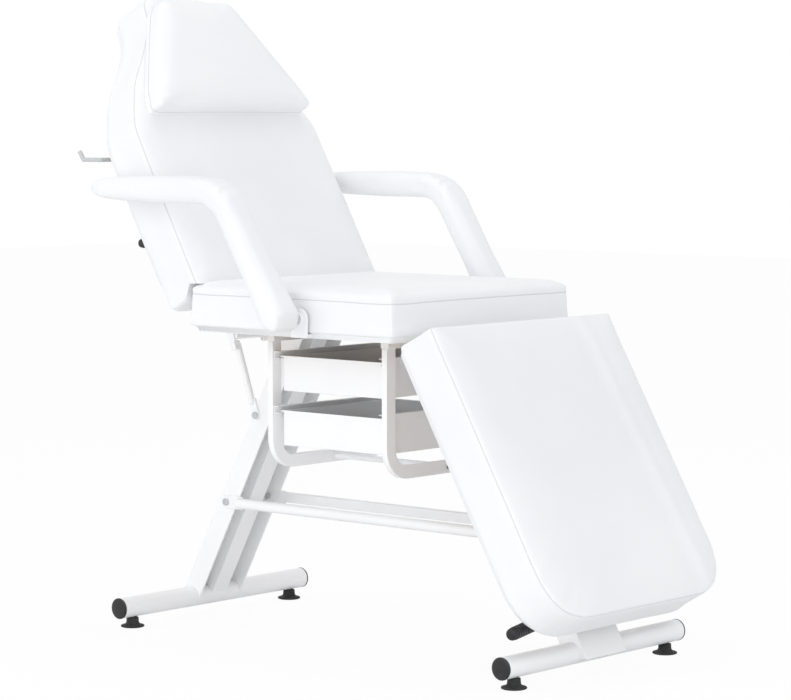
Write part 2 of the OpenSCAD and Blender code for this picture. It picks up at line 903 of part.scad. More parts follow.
module leg_side_tubes() {
    color("white") in_row() on_rest() {
        both_sides() rest_side();
        difference() {
            quadrant(rest_quad_r, 148, 221, 154, plate_y1 + gap, ear_y0);
            ycyl(pin_d + 2 * run_c, -200, 200);
        }
    }
}

module leg_cross_tubes() {
    y = back_tube_y - tube / 2;
    color("white") in_row() on_rest() for (s = [300, 520])
        box([rest_tube_x - tube / 2, -y, -s - tube], [rest_tube_x + tube / 2, y, -s]);
}

// pawl under the right rail, sprung against the quadrant
module leg_pawl() {
    a = 214 + rest_lean;
    tip = [rest_x + rest_pawl_r * cos(a), rest_z + rest_pawl_r * sin(a)];
    piv = [rest_x - 50, rest_z - 24];
    color("silver") in_row() {
        xz_plate(-quad_y + 0.2, -plate_y1 - gap) union() {
            link(tip, piv, 2 * tip_r);
            translate(piv) circle(r = 6);
        }
        translate([piv[0], 0, piv[1]]) ycyl(6 - 2 * run_c, -quad_y + 0.2, -plate_y0);
    }
}

// bar across the leg rest's lower end, with two drooping ends
module leg_pull_bar() {
    x = rest_tube_x - tube / 2 - rod_d / 2;
    color("white") in_row() on_rest() translate([x, 0, -pull_s]) {
        ycyl(rod_d, -pull_half, pull_half);
        both_sides() translate([0, pull_half, 0]) {
            sphere(d = rod_d + 2);
            rotate([-pull_droop, 0, 0]) ycyl(rod_d, 0, 118);
        }
    }
}

module leg_pull_grips() {
    x = rest_tube_x - tube / 2 - rod_d / 2;
    color("black") in_row() on_rest() translate([x, 0, -pull_s])
        both_sides() translate([0, pull_half, 0]) rotate([-pull_droop, 0, 0]) difference() {
            union() {
                ycyl(grip_d, 122 - pull_grip_len, 122);
                for (i = [0 : 7]) ycyl(grip_d + 2.5, 124 - pull_grip_len + i * 9, 128 - pull_grip_len + i * 9);
            }
            ycyl(rod_d, 0, 118);
        }
}

// ---- armrests ----

module arm_bracket() {
    difference() {
        union() {
            box([arm_x - 20, -stub_in - 6, frame_z1], [arm_x + 20, -rail_y + 10, seat_z0 - 0.5]);
            xz_plate(-stub_in - 6, -stub_in) {
                translate([arm_x - 20, frame_z1]) square([40, arm_z - frame_z1]);
                translate([arm_x, arm_z]) circle(r = 20);
            }
            translate([arm_x, 0, arm_z]) {
                ycyl(stub_d, -arm_y - 10, -stub_in);
                ycyl(stub_d + 10, -stub_in - 12, -stub_in - 6);
            }
        }
    }
}

module arm_brackets() {
    color("white") in_row() both_sides() arm_bracket();
}

// side view of an armrest
module arm_profile(t, h) {
    b = [arm_bend_x, arm_top - arm_h / 2];
    end = [arm_tip + arm_h / 2, arm_top - arm_h / 2];
    translate([arm_x, arm_z]) circle(d = t + 1);
    strip([arm_x, arm_z], b, t);
    translate(b) circle(d = h);
    strip(b, end, h);
    translate(end) circle(d = h);
}

module right_core() {
    difference() {
        union() {
            xz_plate(-arm_y - 12, -arm_y + 12) arm_profile(10, 10);
            translate([arm_x, 0, arm_z]) ycyl(stub_d + 10, -arm_y - 12, -stub_in - 12 - gap);
        }
        translate([arm_x, 0, arm_z]) ycyl(stub_d + 2 * run_c, -arm_y - 10 - gap, 0);
    }
}

module right_pad() {
    difference() {
        xz_plate(-arm_y - arm_w / 2, -arm_in) arm_profile(arm_t, arm_h);
        xz_plate(-arm_y - 12, -arm_y + 12) arm_profile(10, 10);
        translate([arm_x, 0, arm_z]) ycyl(stub_d + 10, -arm_y - 12, 0);
    }
}

module right_arm_core() {
    color("silver") in_row() right_core();
}

module right_arm_pad() {
    color("white") in_row() right_pad();
}

module left_arm_core() {
    color("silver") in_row() mirror([0, 1, 0]) right_core();
}

module left_arm_pad() {
    color("white") in_row() mirror([0, 1, 0]) right_pad();
}

// ---- parts ----

rear_foot_bar();
front_foot_bar();
foot_bar_caps();
rear_leg();
front_leg();
leg_cores();
stretchers();
stretcher_bolts();
rear_braces();
brace_bolts();
seat_rails();
seat_cross_tubes();
rear_cross_bar();
rear_hanger();
front_hanger();
tie_rod();
tie_rod_screws();
upper_tray_rails();
lower_tray_rails();
seat_board();
seat_cushion();
back_hinge_plates();
leg_hinge_plates();
hinge_pins();
arm_brackets();
back_side_tubes();
back_cross_tubes();
back_board();
back_cushion();
head_pillow();
roll_holder();
back_lever();
back_lever_grip();
leg_side_tubes();
leg_cross_tubes();
leg_board();
leg_cushion();
leg_pull_bar();
leg_pull_grips();
leg_pawl();
upper_tray();
lower_tray();
right_arm_core();
right_arm_pad();
left_arm_core();
left_arm_pad();
rear_right_stud();
rear_right_pad();
rear_left_stud();
rear_left_pad();
front_right_stud();
front_right_pad();
front_left_stud();
front_left_pad();
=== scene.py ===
import json
from math import cos, pi, radians, sin

import bmesh
import bpy
import numpy as np
from mathutils import Matrix, Vector


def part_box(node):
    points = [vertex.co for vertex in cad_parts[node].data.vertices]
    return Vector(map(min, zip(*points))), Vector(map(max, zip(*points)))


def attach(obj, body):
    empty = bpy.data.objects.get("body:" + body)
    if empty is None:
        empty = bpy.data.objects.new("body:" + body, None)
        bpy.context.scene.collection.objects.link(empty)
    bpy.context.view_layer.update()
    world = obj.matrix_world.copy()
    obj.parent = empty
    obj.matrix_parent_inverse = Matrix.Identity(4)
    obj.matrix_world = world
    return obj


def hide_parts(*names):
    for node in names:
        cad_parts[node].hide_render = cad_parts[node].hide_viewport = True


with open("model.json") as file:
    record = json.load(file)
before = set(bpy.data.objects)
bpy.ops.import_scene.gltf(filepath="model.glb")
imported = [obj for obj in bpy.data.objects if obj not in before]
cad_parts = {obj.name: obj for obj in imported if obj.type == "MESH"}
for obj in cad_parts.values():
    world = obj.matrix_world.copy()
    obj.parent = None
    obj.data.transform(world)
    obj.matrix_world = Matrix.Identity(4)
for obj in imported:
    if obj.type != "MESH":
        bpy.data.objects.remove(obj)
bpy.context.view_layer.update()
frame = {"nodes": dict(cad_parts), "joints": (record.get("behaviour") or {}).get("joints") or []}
scene = bpy.context.scene
scene.view_settings.view_transform = "Standard"

# ---- camera ----
# A long lens almost six metres away, a little above the seat and off the foot end's right corner.
camera_data = bpy.data.cameras.new("camera")
camera_data.lens = 133.65
camera = bpy.data.objects.new("camera", camera_data)
scene.collection.objects.link(camera)
turn = radians(41.02)
tilt = radians(4.53)
towards_camera = Vector((sin(turn) * cos(tilt), -cos(turn) * cos(tilt), sin(tilt)))
camera.location = Vector((0.03695, 0.0, 0.5852)) + 5.857 * towards_camera
camera.rotation_euler = towards_camera.to_track_quat("Z", "Y").to_euler()
scene.camera = camera


# ---- studio ----
# White floor under four soft lamps: one on each side that is seen, one low and one overhead. The
# floor keeps a faint contact shadow, and the world is plain white for the camera and reflections.
def new_material(name):
    material = bpy.data.materials.new(name)
    material.use_nodes = True
    tree = material.node_tree
    return material, tree, tree.nodes, tree.nodes["Principled BSDF"]


def link(tree, start, end):
    tree.links.new(start, end)


def make_floor():
    bm = bmesh.new()
    bmesh.ops.create_grid(bm, x_segments=8, y_segments=8, size=14)
    mesh = bpy.data.meshes.new("studio_floor")
    bm.to_mesh(mesh)
    bm.free()
    floor = bpy.data.objects.new("studio_floor", mesh)
    scene.collection.objects.link(floor)
    material, tree, nodes, shader = new_material("studio_floor")
    shader.inputs["Base Color"].default_value = (0.95, 0.95, 0.95, 1)
    shader.inputs["Roughness"].default_value = 0.9
    shader.inputs["Specular IOR Level"].default_value = 0.1
    glow = nodes.new("ShaderNodeEmission")
    path = nodes.new("ShaderNodeLightPath")
    seen = nodes.new("ShaderNodeMath")
    seen.operation = "MULTIPLY"
    seen.inputs[1].default_value = 0.93
    mix = nodes.new("ShaderNodeMixShader")
    link(tree, path.outputs["Is Camera Ray"], seen.inputs[0])
    link(tree, seen.outputs[0], mix.inputs[0])
    link(tree, shader.outputs[0], mix.inputs[1])
    link(tree, glow.outputs[0], mix.inputs[2])
    link(tree, mix.outputs[0], nodes["Material Output"].inputs["Surface"])
    mesh.materials.append(material)


def make_world():
    world = bpy.data.worlds.new("studio")
    world.use_nodes = True
    tree = world.node_tree
    nodes = tree.nodes
    fill = nodes["Background"]
    fill.inputs["Color"].default_value = (0.97, 0.98, 1.0, 1)
    fill.inputs["Strength"].default_value = 0.78
    white = nodes.new("ShaderNodeBackground")
    white.inputs["Color"].default_value = (1, 1, 1, 1)
    white.inputs["Strength"].default_value = 1.0
    path = nodes.new("ShaderNodeLightPath")
    seen = nodes.new("ShaderNodeMath")
    seen.operation = "MAXIMUM"
    seen_all = nodes.new("ShaderNodeMath")
    seen_all.operation = "MAXIMUM"
    mix = nodes.new("ShaderNodeMixShader")
    link(tree, path.outputs["Is Camera Ray"], seen.inputs[0])
    link(tree, path.outputs["Is Glossy Ray"], seen.inputs[1])
    link(tree, seen.outputs[0], seen_all.inputs[0])
    link(tree, path.outputs["Is Transmission Ray"], seen_all.inputs[1])
    link(tree, seen_all.outputs[0], mix.inputs[0])
    link(tree, fill.outputs[0], mix.inputs[1])
    link(tree, white.outputs[0], mix.inputs[2])
    link(tree, mix.outputs[0], nodes["World Output"].inputs["Surface"])
    scene.world = world


def lamp(name, place, aim, size, power):
    data = bpy.data.lights.new(name, "AREA")
    data.shape = "RECTANGLE"
    data.size, data.size_y = size
    data.energy = power
    obj = bpy.data.objects.new(name, data)
    scene.collection.objects.link(obj)
    obj.location = place
    direction = Vector(place) - Vector(aim)
    obj.rotation_euler = direction.to_track_quat("Z", "Y").to_euler()


make_floor()
make_world()
bed_middle = (0.0, 0.0, 0.6)
lamp("side_softbox", place=(-0.6, -5.0, 2.6), aim=bed_middle, size=(4.0, 3.0), power=54)
lamp("foot_softbox", place=(5.0, 0.6, 2.4), aim=bed_middle, size=(3.0, 3.0), power=16)
lamp("low_softbox", place=(3.2, -4.4, 0.45), aim=(0.1, 0.0, 0.35), size=(4.0, 0.9), power=34)
lamp("top_softbox", place=(-0.4, 0.3, 4.6), aim=bed_middle, size=(3.0, 3.0), power=26)


# ---- steel frame ----
# Bent and welded steel in a white powder coat: a thick, slightly pebbled paint film that rounds
# every edge. Each piece is the sheet or tube itself with its cut edges eased by the paint.
def noise(tree, source, scale, detail=2.0, roughness=0.5):
    node = tree.nodes.new("ShaderNodeTexNoise")
    node.inputs["Scale"].default_value = scale
    node.inputs["Detail"].default_value = detail
    node.inputs["Roughness"].default_value = roughness
    link(tree, source, node.inputs["Vector"])
    return node.outputs["Fac"]


def ramp(tree, source, low, high, start=0.35, end=0.65):
    node = tree.nodes.new("ShaderNodeValToRGB")
    node.color_ramp.elements[0].position = start
    node.color_ramp.elements[0].color = (*low, 1)
    node.color_ramp.elements[1].position = end
    node.color_ramp.elements[1].color = (*high, 1)
    link(tree, source, node.inputs["Fac"])
    return node.outputs["Color"]


def spread(tree, source, low, high):
    node = tree.nodes.new("ShaderNodeMapRange")
    node.inputs["From Min"].default_value = 0.3
    node.inputs["From Max"].default_value = 0.7
    node.inputs["To Min"].default_value = low
    node.inputs["To Max"].default_value = high
    link(tree, source, node.inputs["Value"])
    return node.outputs["Result"]


def bump(tree, height, distance, strength, below=None):
    node = tree.nodes.new("ShaderNodeBump")
    node.inputs["Distance"].default_value = distance
    node.inputs["Strength"].default_value = strength
    link(tree, height, node.inputs["Height"])
    if below is not None:
        link(tree, below, node.inputs["Normal"])
    return node.outputs["Normal"]


def object_place(tree):
    return tree.nodes.new("ShaderNodeTexCoord").outputs["Object"]


def powder_coat(name, low, high):
    material, tree, nodes, shader = new_material(name)
    place = object_place(tree)
    link(tree, ramp(tree, noise(tree, place, 5.0, 3.0), low, high), shader.inputs["Base Color"])
    link(tree, spread(tree, noise(tree, place, 40.0, 3.0), 0.30, 0.42), shader.inputs["Roughness"])
    pebble = bump(tree, noise(tree, place, 620.0, 2.0), 0.0003, 0.35)
    link(tree, bump(tree, noise(tree, place, 26.0, 2.0), 0.0008, 0.12, pebble), shader.inputs["Normal"])
    shader.inputs["Coat Weight"].default_value = 0.15
    shader.inputs["Coat Roughness"].default_value = 0.25
    return material


white_coat = powder_coat("white_powder_coat", (0.935, 0.938, 0.946), (0.955, 0.957, 0.962))


def put(piece, body, slot, material, *nodes):
    piece.data.materials.clear()
    piece.data.materials.append(material)
    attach(piece, body)
    if nodes:
        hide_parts(*nodes)


def finished(name, bm, smooth=40):
    for face in bm.faces:
        face.smooth = True
    for edge in bm.edges:
        edge.smooth = not (edge.is_manifold and edge.calc_face_angle(0.0) > radians(smooth))
    mesh = bpy.data.meshes.new(name)
    bm.to_mesh(mesh)
    bm.free()
    piece = bpy.data.objects.new(name, mesh)
    scene.collection.objects.link(piece)
    return piece


# a sub-part's own shape with its sharp edges rounded to the given radius
def eased(node, name, radius, segments=3):
    bm = bmesh.new()
    bm.from_mesh(frame["nodes"][node].data)
    bmesh.ops.remove_doubles(bm, verts=bm.verts, dist=0.00002)
    bmesh.ops.dissolve_limit(bm, angle_limit=radians(0.8), verts=bm.verts, edges=bm.edges)
    piece = finished(name, bm, 35)
    rounding = piece.modifiers.new("eased edges", "BEVEL")
    rounding.width = radius
    rounding.segments = segments
    rounding.limit_method = "ANGLE"
    rounding.angle_limit = radians(35)
    rounding.harden_normals = True
    return piece


frame_pieces = {
    "rear_foot_bar": ("rear_bar", 0.0006),
    "front_foot_bar": ("front_bar", 0.0006),
    "rear_leg": ("rear_channel_leg", 0.0014),
    "front_leg": ("front_channel_leg", 0.0014),
    "leg_cores": ("leg_tubes", 0.0025),
    "stretchers": ("side_stretchers", 0.0012),
    "rear_braces": ("seat_braces", 0.0008),
    "seat_rails": ("seat_long_tubes", 0.0020),
    "seat_cross_tubes": ("seat_short_tubes", 0.0020),
    "rear_cross_bar": ("rear_rod_with_tab", 0.0008),
    "rear_hanger": ("rear_tray_hanger", 0.0020),
    "front_hanger": ("front_tray_hanger", 0.0020),
    "tie_rod": ("hanger_tie_rod", 0.0006),
    "upper_tray_rails": ("upper_rails", 0.0005),
    "lower_tray_rails": ("lower_rails", 0.0005),
    "back_hinge_plates": ("back_hinge_cheeks", 0.0005),
    "leg_hinge_plates": ("leg_hinge_cheeks", 0.0005),
    "arm_brackets": ("arm_supports", 0.0012),
}
for node, (name, radius) in frame_pieces.items():
    put(eased(node, name, radius), "frame", "white_powder_coat", white_coat, node)
moving_steel = (
    ("back_side_tubes", "back_long_tubes", "backrest", 0.002),
    ("back_cross_tubes", "back_short_tubes", "backrest", 0.002),
    ("leg_side_tubes", "rest_long_tubes", "leg_rest", 0.002),
    ("leg_cross_tubes", "rest_short_tubes", "leg_rest", 0.002),
    ("leg_pull_bar", "rest_pull_bar", "leg_rest", 0.0006),
    ("back_lever", "recline_lever", "backrest_lever", 0.0006),
)
for node, name, body, radius in moving_steel:
    put(eased(node, name, radius), body, "white_powder_coat", white_coat, node)


# ---- trays ----
# Two pressed sheet trays, one above the other, in the same white coat as the frame. Their folded
# rims slide in the rails, out to either side of the bed.
for level in ("upper", "lower"):
    tray = eased(level + "_tray", level + "_sliding_tray", 0.0016)
    put(tray, level + "_tray_slide", "white_powder_coat", white_coat, level + "_tray")


# ---- fasteners, pins and pawl ----
# Zinc-plated bolts, nuts and hinge pins, a plated pawl and arm cores, and black screws on the rod.
def plated(name, low, high):
    material, tree, nodes, shader = new_material(name)
    place = object_place(tree)
    link(tree, ramp(tree, noise(tree, place, 60.0, 3.0), low, high), shader.inputs["Base Color"])
    link(tree, spread(tree, noise(tree, place, 240.0, 3.0), 0.24, 0.40), shader.inputs["Roughness"])
    link(tree, bump(tree, noise(tree, place, 1500.0), 0.0001, 0.2), shader.inputs["Normal"])
    shader.inputs["Metallic"].default_value = 1.0
    return material


zinc = plated("zinc_plate", (0.55, 0.56, 0.58), (0.66, 0.66, 0.67))
for node, name in (("stretcher_bolts", "stretcher_fasteners"), ("brace_bolts", "brace_fasteners"),
                   ("hinge_pins", "pivot_pins")):
    put(eased(node, name, 0.0007), "frame", "zinc_steel", zinc, node)
put(eased("leg_pawl", "rest_catch", 0.0005), "rest_pawl", "zinc_steel", zinc, "leg_pawl")
for arm in ("right_arm", "left_arm"):
    put(eased(arm + "_core", arm + "_steel", 0.001), arm, "zinc_steel", zinc, arm + "_core")
for foot in ("rear_right", "rear_left", "front_right", "front_left"):
    put(eased(foot + "_stud", foot + "_thread", 0.0006), foot + "_foot", "zinc_steel", zinc, foot + "_stud")


def moulded(name, low, high, rough, grain, depth):
    material, tree, nodes, shader = new_material(name)
    place = object_place(tree)
    link(tree, ramp(tree, noise(tree, place, 30.0, 3.0), low, high), shader.inputs["Base Color"])
    patchy = spread(tree, noise(tree, place, 80.0, 3.0), rough - 0.07, rough + 0.07)
    link(tree, patchy, shader.inputs["Roughness"])
    link(tree, bump(tree, noise(tree, place, grain, 3.0), depth, 0.4), shader.inputs["Normal"])
    return material


black_oxide = moulded("black_oxide", (0.012, 0.012, 0.013), (0.022, 0.022, 0.024),
                      rough=0.40, grain=900.0, depth=0.0001)
put(eased("tie_rod_screws", "rod_end_screws", 0.0007), "frame", "black_steel", black_oxide, "tie_rod_screws")


# ---- plywood boards ----
# Sanded birch plywood under each cushion, bolted to the tubes below it. The cushion's cover hides
# its edges.
def plywood(name):
    material, tree, nodes, shader = new_material(name)
    place = object_place(tree)
    stretch = nodes.new("ShaderNodeMapping")
    stretch.inputs["Scale"].default_value = (1.0, 9.0, 1.0)
    link(tree, place, stretch.inputs["Vector"])
    figure = noise(tree, stretch.outputs["Vector"], 14.0, 6.0, 0.6)
    link(tree, ramp(tree, figure, (0.46, 0.32, 0.19), (0.66, 0.50, 0.33)), shader.inputs["Base Color"])
    link(tree, spread(tree, figure, 0.55, 0.70), shader.inputs["Roughness"])
    link(tree, bump(tree, figure, 0.0003, 0.3), shader.inputs["Normal"])
    return material


birch = plywood("birch_plywood")
for node, name, body in (("seat_board", "seat_plywood", "frame"), ("back_board", "back_plywood", "backrest"),
                         ("leg_board", "rest_plywood", "leg_rest")):
    put(eased(node, name, 0.001), body, "birch_plywood", birch, node)


# ---- roll holder ----
# Thin rod behind the back, bent to a hook at each end to hold a paper roll. Its coat is a darker
# grey than the frame's.
grey_coat = powder_coat("grey_coat", (0.50, 0.51, 0.52), (0.58, 0.59, 0.60))
put(eased("roll_holder", "paper_roll_rod", 0.0004), "backrest", "grey_coat", grey_coat, "roll_holder")


# ---- bar caps ----
# Black moulded plugs, each a slightly domed disc with a short stem, pushed into the ends of the
# foot bars.
black_plastic = moulded("black_plastic", (0.010, 0.010, 0.011), (0.020, 0.020, 0.022),
                        rough=0.42, grain=700.0, depth=0.0002)


# a solid turned round the X axis from a half profile of (place along the axis, radius)
def turned(bm, profile, matrix, steps=40):
    points = [bm.verts.new((x, r, 0)) for x, r in profile]
    edges = [bm.edges.new(pair) for pair in zip(points, points[1:])]
    bmesh.ops.spin(bm, geom=points + edges, cent=(0, 0, 0), axis=(1, 0, 0), angle=2 * pi, steps=steps,
                   use_merge=True)
    bmesh.ops.remove_doubles(bm, verts=[v for v in bm.verts if not v.tag], dist=0.00001)
    fresh = [v for v in bm.verts if not v.tag]
    bmesh.ops.transform(bm, matrix=matrix, verts=fresh)
    for vert in fresh:
        vert.tag = True
    bmesh.ops.recalc_face_normals(bm, faces=bm.faces)


bm = bmesh.new()
for bar in ("rear_foot_bar", "front_foot_bar"):
    low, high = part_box(bar)
    middle = (low + high) / 2
    radius = (high.x - low.x) / 2
    for side in (-1, 1):
        profile = [(-0.016, 0), (-0.016, radius - 0.003), (0.0, radius - 0.0022), (0.0, radius + 0.0002),
                   (0.0006, radius + 0.0005), (0.0026, radius + 0.0005), (0.0036, radius - 0.0008),
                   (0.0041, radius - 0.004), (0.0045, radius * 0.5), (0.0046, 0)]
        end = Matrix.Translation((middle.x, low.y if side < 0 else high.y, middle.z))
        turned(bm, profile, end @ Matrix.Rotation(side * pi / 2, 4, "Z"))
put(finished("bar_end_plugs", bm, 30), "frame", "black_plastic", black_plastic, "foot_bar_caps")


# ---- levelling feet ----
# Moulded rubber pads, each a flared base under a straight neck, that turn on the plated studs
# screwed up into the foot bars.
rubber = moulded("black_rubber", (0.014, 0.014, 0.014), (0.030, 0.030, 0.030),
                 rough=0.72, grain=500.0, depth=0.0003)
for foot in ("rear_right", "rear_left", "front_right", "front_left"):
    low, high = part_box(foot + "_pad")
    radius = (high.x - low.x) / 2
    top = high.z
    profile = [(0, 0), (0, radius - 0.0025), (0.0008, radius - 0.0006), (0.002, radius),
               (0.0032, radius - 0.0003), (0.0040, radius - 0.0010), (0.0046, radius - 0.0030),
               (0.0055, radius - 0.0062), (0.0070, radius - 0.0095), (0.0090, radius - 0.0110),
               (0.0120, radius - 0.0117), (top - 0.0012, radius - 0.0120), (top - 0.0003, radius - 0.0128),
               (top, radius - 0.0145), (top, 0)]
    bm = bmesh.new()
    place = Matrix.Translation(((low.x + high.x) / 2, (low.y + high.y) / 2, 0))
    turned(bm, profile, place @ Matrix.Rotation(-pi / 2, 4, "Y"))
    put(finished(foot + "_rubber", bm, 50), foot + "_foot", "black_rubber", rubber, foot + "_pad")


# ---- grips ----
# Black ribbed sleeves pushed over the lever's rod and over both ends of the pull bar. The first
# stays with the lever behind the backrest, the others with the leg rest.
def grip_profile(length, radius, ribs):
    profile = [(0, 0), (0, radius * 0.72), (0.0015, radius * 0.90), (0.004, radius)]
    pitch = (length - 0.016) / ribs
    for i in range(ribs):
        x = 0.008 + i * pitch
        profile += [(x, radius), (x + 0.12 * pitch, radius + 0.0009), (x + 0.55 * pitch, radius + 0.0009),
                    (x + 0.67 * pitch, radius)]
    return profile + [(length - 0.004, radius), (length - 0.0015, radius * 0.92), (length, radius * 0.75),
                      (length, 0)]


hinge = {joint["name"]: Vector(joint.get("pos_m", (0, 0, 0))) for joint in frame["joints"]}
on_back = Matrix.Translation(hinge["backrest_recline"]) @ Matrix.Rotation(-radians(29.6), 4, "Y")
on_rest = Matrix.Translation(hinge["leg_rest_lift"]) @ Matrix.Rotation(-radians(30), 4, "Y")
bm = bmesh.new()
lever_end = on_back @ Matrix.Translation((-0.078, -0.232, 0.196)) @ Matrix.Rotation(pi / 2, 4, "Z")
turned(bm, grip_profile(length=0.095, radius=0.0092, ribs=12), lever_end)
put(finished("lever_sleeve", bm, 50), "backrest_lever", "black_plastic", black_plastic, "back_lever_grip")
bm = bmesh.new()
for side in (-1, 1):
    bend = Matrix.Translation((-0.0245, side * 0.136, -0.562)) @ Matrix.Rotation(-side * radians(8), 4, "X")
    start = Matrix.Translation((0, side * 0.046, 0)) @ Matrix.Rotation(side * pi / 2, 4, "Z")
    turned(bm, grip_profile(length=0.078, radius=0.0115, ribs=8), on_rest @ bend @ start)
put(finished("pull_bar_sleeves", bm, 50), "leg_rest", "black_plastic", black_plastic, "leg_pull_grips")


# ---- white leatherette ----
# Soft coated fabric with a fine pebble grain and faint slack waves. The seam between a cushion's
# top and its side band is a shallow stitched groove, with painted shade darkening the cover along it.
def leatherette(name):
    material, tree, nodes, shader = new_material(name)
    place = object_place(tree)
    tone = ramp(tree, noise(tree, place, 3.0, 3.0), (0.86, 0.863, 0.873), (0.90, 0.902, 0.908))
    seam = nodes.new("ShaderNodeAttribute")
    seam.attribute_name = "seam"
    seam_groove_shade = nodes.new("ShaderNodeMapRange")
    seam_groove_shade.interpolation_type = "SMOOTHSTEP"
    seam_groove_shade.inputs["From Min"].default_value = 0.0003
    seam_groove_shade.inputs["From Max"].default_value = 0.0016
    either_side = nodes.new("ShaderNodeMath")
    either_side.operation = "ABSOLUTE"
    link(tree, seam.outputs["Fac"], either_side.inputs[0])
    link(tree, either_side.outputs[0], seam_groove_shade.inputs["Value"])
    # painted shade: the cover's colour turns a darker grey along the seam groove, and the same mask also
    # dents the groove by bump
    shade = nodes.new("ShaderNodeMix")
    shade.data_type = "RGBA"
    shade.inputs["A"].default_value = (0.70, 0.71, 0.73, 1)
    link(tree, seam_groove_shade.outputs["Result"], shade.inputs["Factor"])
    link(tree, tone, shade.inputs["B"])
    link(tree, shade.outputs["Result"], shader.inputs["Base Color"])
    link(tree, spread(tree, noise(tree, place, 120.0, 3.0), 0.40, 0.54), shader.inputs["Roughness"])
    cells = nodes.new("ShaderNodeTexVoronoi")
    cells.inputs["Scale"].default_value = 780.0
    link(tree, place, cells.inputs["Vector"])
    grain = bump(tree, cells.outputs["Distance"], 0.00022, 0.35)
    slack = bump(tree, noise(tree, place, 11.0, 2.0), 0.004, 0.10, grain)
    link(tree, bump(tree, seam_groove_shade.outputs["Result"], 0.0010, 0.6, slack), shader.inputs["Normal"])
    shader.inputs["Sheen Weight"].default_value = 0.06
    shader.inputs["Sheen Roughness"].default_value = 0.5
    return material


leather = leatherette("white_leatherette")


# ---- cushions ----
# Each cushion is a foam block on its board under a sewn leatherette cover: rounded front edges,
# a crowned face, and cloth blown up against the foam so that it pulls in between its corners.
def rounded(points, radii, steps=7):
    outline = []
    count = len(points)
    for i, (point, radius) in enumerate(zip(points, radii)):
        here = Vector(point)
        before = (Vector(points[i - 1]) - here).normalized()
        after = (Vector(points[(i + 1) % count]) - here).normalized()
        half = before.angle(after) / 2
        shorter = min((Vector(points[i - 1]) - here).length, (Vector(points[(i + 1) % count]) - here).length)
        reach = min(radius * cos(half) / sin(half), 0.48 * shorter)
        start, end = here + before * reach, here + after * reach
        for k in range(steps + 1):
            t = k / steps
            outline.append((1 - t) ** 2 * start + 2 * t * (1 - t) * here + t * t * end)
    return outline


def edge_distance(places, outline):
    a = np.array(outline)
    b = np.roll(a, -1, axis=0)
    nearest = np.full(len(places), 9.0)
    for p, q in zip(a, b):
        step = q - p
        t = np.clip(((places - p) @ step) / max(step @ step, 1e-12), 0, 1)
        nearest = np.minimum(nearest, np.linalg.norm(places - p - t[:, None] * step, axis=1))
    return nearest


def coordinates(mesh):
    flat = np.zeros(len(mesh.vertices) * 3)
    mesh.vertices.foreach_get("co", flat)
    return flat.reshape(-1, 3)


def settle(mesh, places):
    mesh.vertices.foreach_set("co", places.ravel())
    mesh.update()


def remeshed(name, bm, voxel):
    piece = finished(name, bm)
    remesh = piece.modifiers.new("even mesh", "REMESH")
    remesh.mode = "VOXEL"
    remesh.voxel_size = voxel
    graph = bpy.context.evaluated_depsgraph_get()
    mesh = bpy.data.meshes.new_from_object(piece.evaluated_get(graph))
    piece.modifiers.clear()
    piece.data = mesh
    for face in mesh.polygons:
        face.use_smooth = True
    return piece


def blow_up(piece, held, pressure, cap):
    start = coordinates(piece.data)
    group = piece.vertex_groups.new(name="held")
    group.add([int(i) for i in np.nonzero(held)[0]], 1.0, "REPLACE")
    cloth = piece.modifiers.new("cover", "CLOTH")
    cloth.settings.quality = 4
    cloth.settings.mass = 0.3
    cloth.settings.tension_stiffness = 12
    cloth.settings.compression_stiffness = 8
    cloth.settings.shear_stiffness = 6
    cloth.settings.bending_stiffness = 0.6
    cloth.settings.use_pressure = True
    cloth.settings.uniform_pressure_force = pressure
    cloth.settings.effector_weights.gravity = 0
    cloth.settings.vertex_group_mass = "held"
    cloth.collision_settings.use_collision = False
    cloth.point_cache.frame_start = 1
    cloth.point_cache.frame_end = 20
    for number in range(1, 21):
        scene.frame_set(number)
    graph = bpy.context.evaluated_depsgraph_get()
    moved = coordinates(piece.evaluated_get(graph).data) - start
    length = np.linalg.norm(moved, axis=1, keepdims=True)
    moved *= cap * np.tanh(length / cap) / np.maximum(length, 1e-9)
    piece.modifiers.clear()
    piece.vertex_groups.clear()
    scene.frame_set(1)
    settle(piece.data, start + moved)


def smoothed(piece, times):
    bm = bmesh.new()
    bm.from_mesh(piece.data)
    for _ in range(times):
        bmesh.ops.smooth_vert(bm, verts=bm.verts, factor=0.5, use_axis_x=True, use_axis_y=True,
                              use_axis_z=True)
    bm.to_mesh(piece.data)
    bm.free()


def mark_seam(piece, distance):
    seam = piece.data.attributes.new("seam", "FLOAT", "POINT")
    seam.data.foreach_set("value", np.clip(distance, -1, 1).astype(np.float32))


